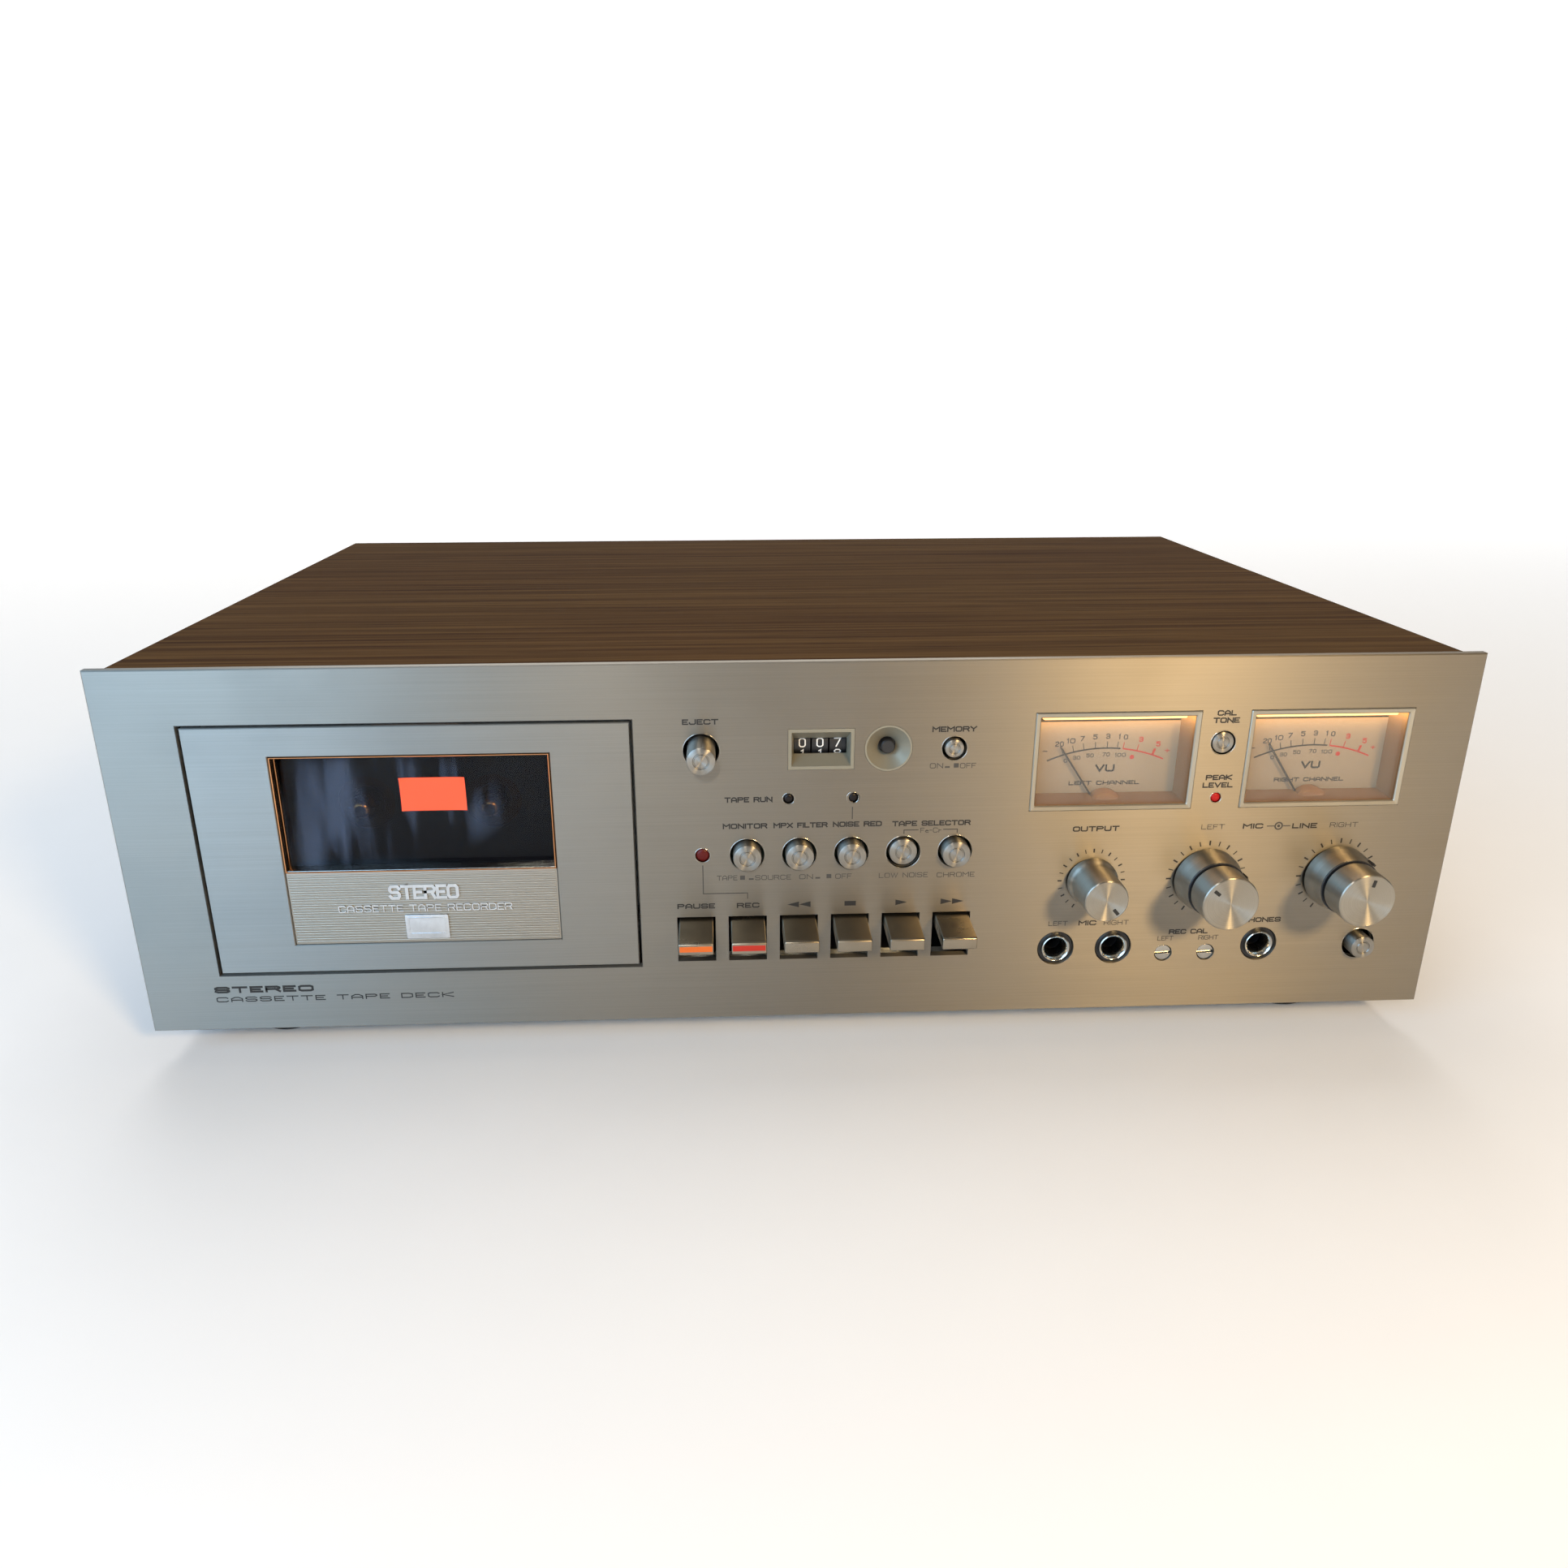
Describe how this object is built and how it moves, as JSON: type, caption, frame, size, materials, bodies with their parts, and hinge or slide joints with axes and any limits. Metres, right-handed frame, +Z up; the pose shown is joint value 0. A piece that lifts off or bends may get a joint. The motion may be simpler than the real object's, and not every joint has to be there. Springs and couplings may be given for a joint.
{
  "type": "cassette deck",
  "caption": "Front-loading stereo cassette deck: wood-grain case, brushed metal panel, windowed tape door, piano keys, push buttons, level knobs, lit meters and a tape counter.",
  "frame": {"origin": "middle of the footprint, on the surface that the feet stand on", "axes": "+Z up, +X to the right as seen from the front, +Y towards the rear, so the front faces -Y"},
  "size_m": [0.44, 0.302, 0.138],
  "materials": {
    "brushed_aluminium": "fine horizontal brushing",
    "walnut_vinyl": "satin walnut grain",
    "zinc_steel": "bright zinc-plated sheet",
    "black_steel": "fine black texture paint",
    "foot_rubber": "matte",
    "nickel": "bright nickel plate",
    "champagne_plastic": "satin moulded",
    "ribbed_champagne": "fine horizontal ribs",
    "smoked_glass": "dark smoked acrylic",
    "black_plastic": "fine matte",
    "silver_metal": "satin turned",
    "bronze_metal": "satin bronze anodised",
    "lamp_red": "translucent red",
    "lamp_glass": "clear",
    "dial_white": "warm back-lit",
    "needle_black": "matte",
    "circuit_green": "solder mask",
    "transformer_steel": "varnished laminations",
    "capstan_steel": "ground steel",
    "roller_rubber": "ground matte rubber",
    "wheel_black": "matte with white figures"
  },
  "bodies": {
    "cabinet": {"front_panel": "brushed_aluminium", "cabinet_top": "walnut_vinyl", "cabinet_sides": "walnut_vinyl", "base_plate": "zinc_steel", "rear_panel": "black_steel", "feet": "foot_rubber", "case_screws": "nickel", "rear_sockets": "nickel", "transport_plate": "zinc_steel", "drive_motor": "zinc_steel", "counter_housing": "champagne_plastic", "key_bracket": "zinc_steel", "circuit_boards": "circuit_green", "transformer": "transformer_steel", "meter_housings": "champagne_plastic", "meter_dials": "dial_white", "meter_lenses": "lamp_glass", "indicator_lamps": "lamp_red", "front_jacks": "nickel"},
    "door": {"door_panel": "brushed_aluminium", "window_frame": "black_plastic", "window_pane": "smoked_glass", "ribbed_plate": "ribbed_champagne", "cassette_holder": "black_plastic"},
    "eject_button": {"eject_button": "silver_metal"},
    "reset_button": {"reset_button": "black_plastic"},
    "monitor_button": {"monitor_button": "silver_metal"},
    "filter_button": {"filter_button": "silver_metal"},
    "noise_reduction_button": {"noise_reduction_button": "silver_metal"},
    "tape_normal_button": {"tape_normal_button": "silver_metal"},
    "tape_chrome_button": {"tape_chrome_button": "silver_metal"},
    "memory_button": {"memory_button": "silver_metal"},
    "cal_tone_button": {"cal_tone_button": "silver_metal"},
    "power_button": {"power_button": "silver_metal"},
    "pause_key": {"pause_key": "bronze_metal"},
    "record_key": {"record_key": "bronze_metal"},
    "rewind_key": {"rewind_key": "bronze_metal"},
    "stop_key": {"stop_key": "bronze_metal"},
    "play_key": {"play_key": "bronze_metal"},
    "fast_forward_key": {"fast_forward_key": "bronze_metal"},
    "left_needle": {"left_needle": "needle_black"},
    "right_needle": {"right_needle": "needle_black"},
    "output_knob": {"output_knob": "silver_metal"},
    "left_mic_knob": {"left_mic_knob": "silver_metal"},
    "left_line_ring": {"left_line_ring": "silver_metal"},
    "right_mic_knob": {"right_mic_knob": "silver_metal"},
    "right_line_ring": {"right_line_ring": "silver_metal"},
    "left_calibration_trimmer": {"left_calibration_trimmer": "nickel"},
    "right_calibration_trimmer": {"right_calibration_trimmer": "nickel"},
    "supply_reel": {"supply_reel": "black_plastic"},
    "supply_flywheel": {"supply_flywheel": "capstan_steel"},
    "takeup_reel": {"takeup_reel": "black_plastic"},
    "takeup_flywheel": {"takeup_flywheel": "capstan_steel"},
    "motor_pulley": {"motor_pulley": "nickel"},
    "hundreds_wheel": {"hundreds_wheel": "wheel_black"},
    "tens_wheel": {"tens_wheel": "wheel_black"},
    "units_wheel": {"units_wheel": "wheel_black"},
    "head_base": {"head_base": "zinc_steel"},
    "supply_pinch_roller": {"supply_pinch_roller": "roller_rubber"},
    "takeup_pinch_roller": {"takeup_pinch_roller": "roller_rubber"}
  },
  "joints": [
    {"name": "door_hinge", "type": "hinge", "parent": "cabinet", "child": "door", "pos_m": [-0.1241, -0.1246, 0.05], "axis": [1, 0, 0], "range_deg": [0, 20]},
    {"name": "eject_press", "type": "slide", "parent": "cabinet", "child": "eject_button", "axis": [0, 1, 0], "range_m": [0, 0.005], "stiffness_N_per_m": 300, "springref_m": -0.002},
    {"name": "reset_press", "type": "slide", "parent": "cabinet", "child": "reset_button", "axis": [0, 1, 0], "range_m": [0, 0.003], "stiffness_N_per_m": 300, "springref_m": -0.002},
    {"name": "monitor_press", "type": "slide", "parent": "cabinet", "child": "monitor_button", "axis": [0, 1, 0], "range_m": [0, 0.0032], "stiffness_N_per_m": 300, "springref_m": -0.002},
    {"name": "filter_press", "type": "slide", "parent": "cabinet", "child": "filter_button", "axis": [0, 1, 0], "range_m": [0, 0.0032], "stiffness_N_per_m": 300, "springref_m": -0.002},
    {"name": "noise_reduction_press", "type": "slide", "parent": "cabinet", "child": "noise_reduction_button", "axis": [0, 1, 0], "range_m": [0, 0.0032], "stiffness_N_per_m": 300, "springref_m": -0.002},
    {"name": "tape_normal_press", "type": "slide", "parent": "cabinet", "child": "tape_normal_button", "axis": [0, 1, 0], "range_m": [-0.0032, 0]},
    {"name": "tape_chrome_press", "type": "slide", "parent": "cabinet", "child": "tape_chrome_button", "axis": [0, 1, 0], "range_m": [0, 0.0032], "stiffness_N_per_m": 300, "springref_m": -0.002},
    {"name": "memory_press", "type": "slide", "parent": "cabinet", "child": "memory_button", "axis": [0, 1, 0], "range_m": [-0.0025, 0]},
    {"name": "cal_tone_press", "type": "slide", "parent": "cabinet", "child": "cal_tone_button", "axis": [0, 1, 0], "range_m": [0, 0.0025], "stiffness_N_per_m": 300, "springref_m": -0.002},
    {"name": "power_press", "type": "slide", "parent": "cabinet", "child": "power_button", "axis": [0, 1, 0], "range_m": [0, 0.003], "stiffness_N_per_m": 300, "springref_m": -0.002},
    {"name": "pause_key_press", "type": "hinge", "parent": "cabinet", "child": "pause_key", "pos_m": [-0.03465, -0.084, 0.048], "axis": [1, 0, 0], "range_deg": [0, 7.6], "stiffness_Nm_per_rad": 0.4, "springref_deg": -8.59},
    {"name": "record_key_press", "type": "hinge", "parent": "cabinet", "child": "record_key", "pos_m": [-0.01738, -0.084, 0.048], "axis": [1, 0, 0], "range_deg": [0, 7.6], "stiffness_Nm_per_rad": 0.4, "springref_deg": -8.59},
    {"name": "rewind_key_press", "type": "hinge", "parent": "cabinet", "child": "rewind_key", "pos_m": [-0.00011, -0.084, 0.048], "axis": [1, 0, 0], "range_deg": [0, 7.6], "stiffness_Nm_per_rad": 0.4, "springref_deg": -8.59},
    {"name": "stop_key_press", "type": "hinge", "parent": "cabinet", "child": "stop_key", "pos_m": [0.01716, -0.084, 0.048], "axis": [1, 0, 0], "range_deg": [0, 7.6], "stiffness_Nm_per_rad": 0.4, "springref_deg": -8.59},
    {"name": "play_key_press", "type": "hinge", "parent": "cabinet", "child": "play_key", "pos_m": [0.03443, -0.084, 0.048], "axis": [1, 0, 0], "range_deg": [0, 7.6], "stiffness_Nm_per_rad": 0.4, "springref_deg": -8.59},
    {"name": "fast_forward_key_press", "type": "hinge", "parent": "cabinet", "child": "fast_forward_key", "pos_m": [0.0517, -0.084, 0.048], "axis": [1, 0, 0], "range_deg": [0, 7.6], "stiffness_Nm_per_rad": 0.4, "springref_deg": -8.59},
    {"name": "left_needle_swing", "type": "hinge", "parent": "cabinet", "child": "left_needle", "pos_m": [0.10255, -0.1222, 0.0827], "axis": [0, 1, 0], "range_deg": [0, 73], "stiffness_Nm_per_rad": 0.0005, "springref_deg": -22.92},
    {"name": "right_needle_swing", "type": "hinge", "parent": "cabinet", "child": "right_needle", "pos_m": [0.1727, -0.1222, 0.0827], "axis": [0, 1, 0], "range_deg": [0, 73], "stiffness_Nm_per_rad": 0.0005, "springref_deg": -22.92},
    {"name": "output_knob_turn", "type": "hinge", "parent": "cabinet", "child": "output_knob", "pos_m": [0.0987, -0.138, 0.0614], "axis": [0, 1, 0], "range_deg": [-289, 11]},
    {"name": "left_mic_knob_turn", "type": "hinge", "parent": "cabinet", "child": "left_mic_knob", "pos_m": [0.1379, -0.145, 0.0614], "axis": [0, 1, 0], "range_deg": [-99, 201]},
    {"name": "left_line_ring_turn", "type": "hinge", "parent": "cabinet", "child": "left_line_ring", "pos_m": [0.1379, -0.135, 0.0614], "axis": [0, 1, 0], "range_deg": [-220, 80]},
    {"name": "right_mic_knob_turn", "type": "hinge", "parent": "cabinet", "child": "right_mic_knob", "pos_m": [0.1828, -0.145, 0.0614], "axis": [0, 1, 0], "range_deg": [-162, 138]},
    {"name": "right_line_ring_turn", "type": "hinge", "parent": "cabinet", "child": "right_line_ring", "pos_m": [0.1828, -0.135, 0.0614], "axis": [0, 1, 0], "range_deg": [-195, 105]},
    {"name": "left_calibration_trimmer_turn", "type": "hinge", "parent": "cabinet", "child": "left_calibration_trimmer", "pos_m": [0.12655, -0.125, 0.0332], "axis": [0, 1, 0], "range_deg": [-135, 135]},
    {"name": "right_calibration_trimmer_turn", "type": "hinge", "parent": "cabinet", "child": "right_calibration_trimmer", "pos_m": [0.14145, -0.125, 0.0332], "axis": [0, 1, 0], "range_deg": [-135, 135]},
    {"name": "supply_reel_spin", "type": "hinge", "parent": "cabinet", "child": "supply_reel", "pos_m": [-0.14535, -0.1078, 0.0862], "axis": [0, 1, 0], "continuous": true},
    {"name": "supply_flywheel_spin", "type": "hinge", "parent": "cabinet", "child": "supply_flywheel", "pos_m": [-0.1476, -0.098, 0.0597], "axis": [0, 1, 0], "continuous": true},
    {"name": "takeup_reel_spin", "type": "hinge", "parent": "cabinet", "child": "takeup_reel", "pos_m": [-0.10285, -0.1078, 0.0862], "axis": [0, 1, 0], "continuous": true},
    {"name": "takeup_flywheel_spin", "type": "hinge", "parent": "cabinet", "child": "takeup_flywheel", "pos_m": [-0.1006, -0.098, 0.0597], "axis": [0, 1, 0], "continuous": true},
    {"name": "motor_pulley_spin", "type": "hinge", "parent": "cabinet", "child": "motor_pulley", "pos_m": [-0.1241, -0.098, 0.104], "axis": [0, 1, 0], "continuous": true},
    {"name": "hundreds_wheel_spin", "type": "hinge", "parent": "cabinet", "child": "hundreds_wheel", "pos_m": [0.0009, -0.1188, 0.10925], "axis": [1, 0, 0], "continuous": true},
    {"name": "tens_wheel_spin", "type": "hinge", "parent": "cabinet", "child": "tens_wheel", "pos_m": [0.00665, -0.1188, 0.10925], "axis": [1, 0, 0], "continuous": true},
    {"name": "units_wheel_spin", "type": "hinge", "parent": "cabinet", "child": "units_wheel", "pos_m": [0.0124, -0.1188, 0.10925], "axis": [1, 0, 0], "continuous": true},
    {"name": "head_base_lift", "type": "slide", "parent": "cabinet", "child": "head_base", "axis": [0, 0, 1], "range_m": [0, 0.0073]},
    {"name": "supply_pinch_roller_spin", "type": "hinge", "parent": "head_base", "child": "supply_pinch_roller", "pos_m": [-0.1476, -0.1195, 0.04535], "axis": [0, 1, 0], "continuous": true},
    {"name": "takeup_pinch_roller_spin", "type": "hinge", "parent": "head_base", "child": "takeup_pinch_roller", "pos_m": [-0.1006, -0.1195, 0.04535], "axis": [0, 1, 0], "continuous": true}
  ],
  "couplings": [
    {"joint": "head_base_lift", "follows": "play_key_press", "m_per_rad": 0.055007},
    {"joint": "supply_flywheel_spin", "follows": "takeup_flywheel_spin", "ratio": 1},
    {"joint": "motor_pulley_spin", "follows": "takeup_flywheel_spin", "ratio": 4.3},
    {"joint": "units_wheel_spin", "follows": "takeup_reel_spin", "ratio": 0.1},
    {"joint": "tens_wheel_spin", "follows": "takeup_reel_spin", "ratio": 0.01},
    {"joint": "hundreds_wheel_spin", "follows": "takeup_reel_spin", "ratio": 0.001}
  ]
}
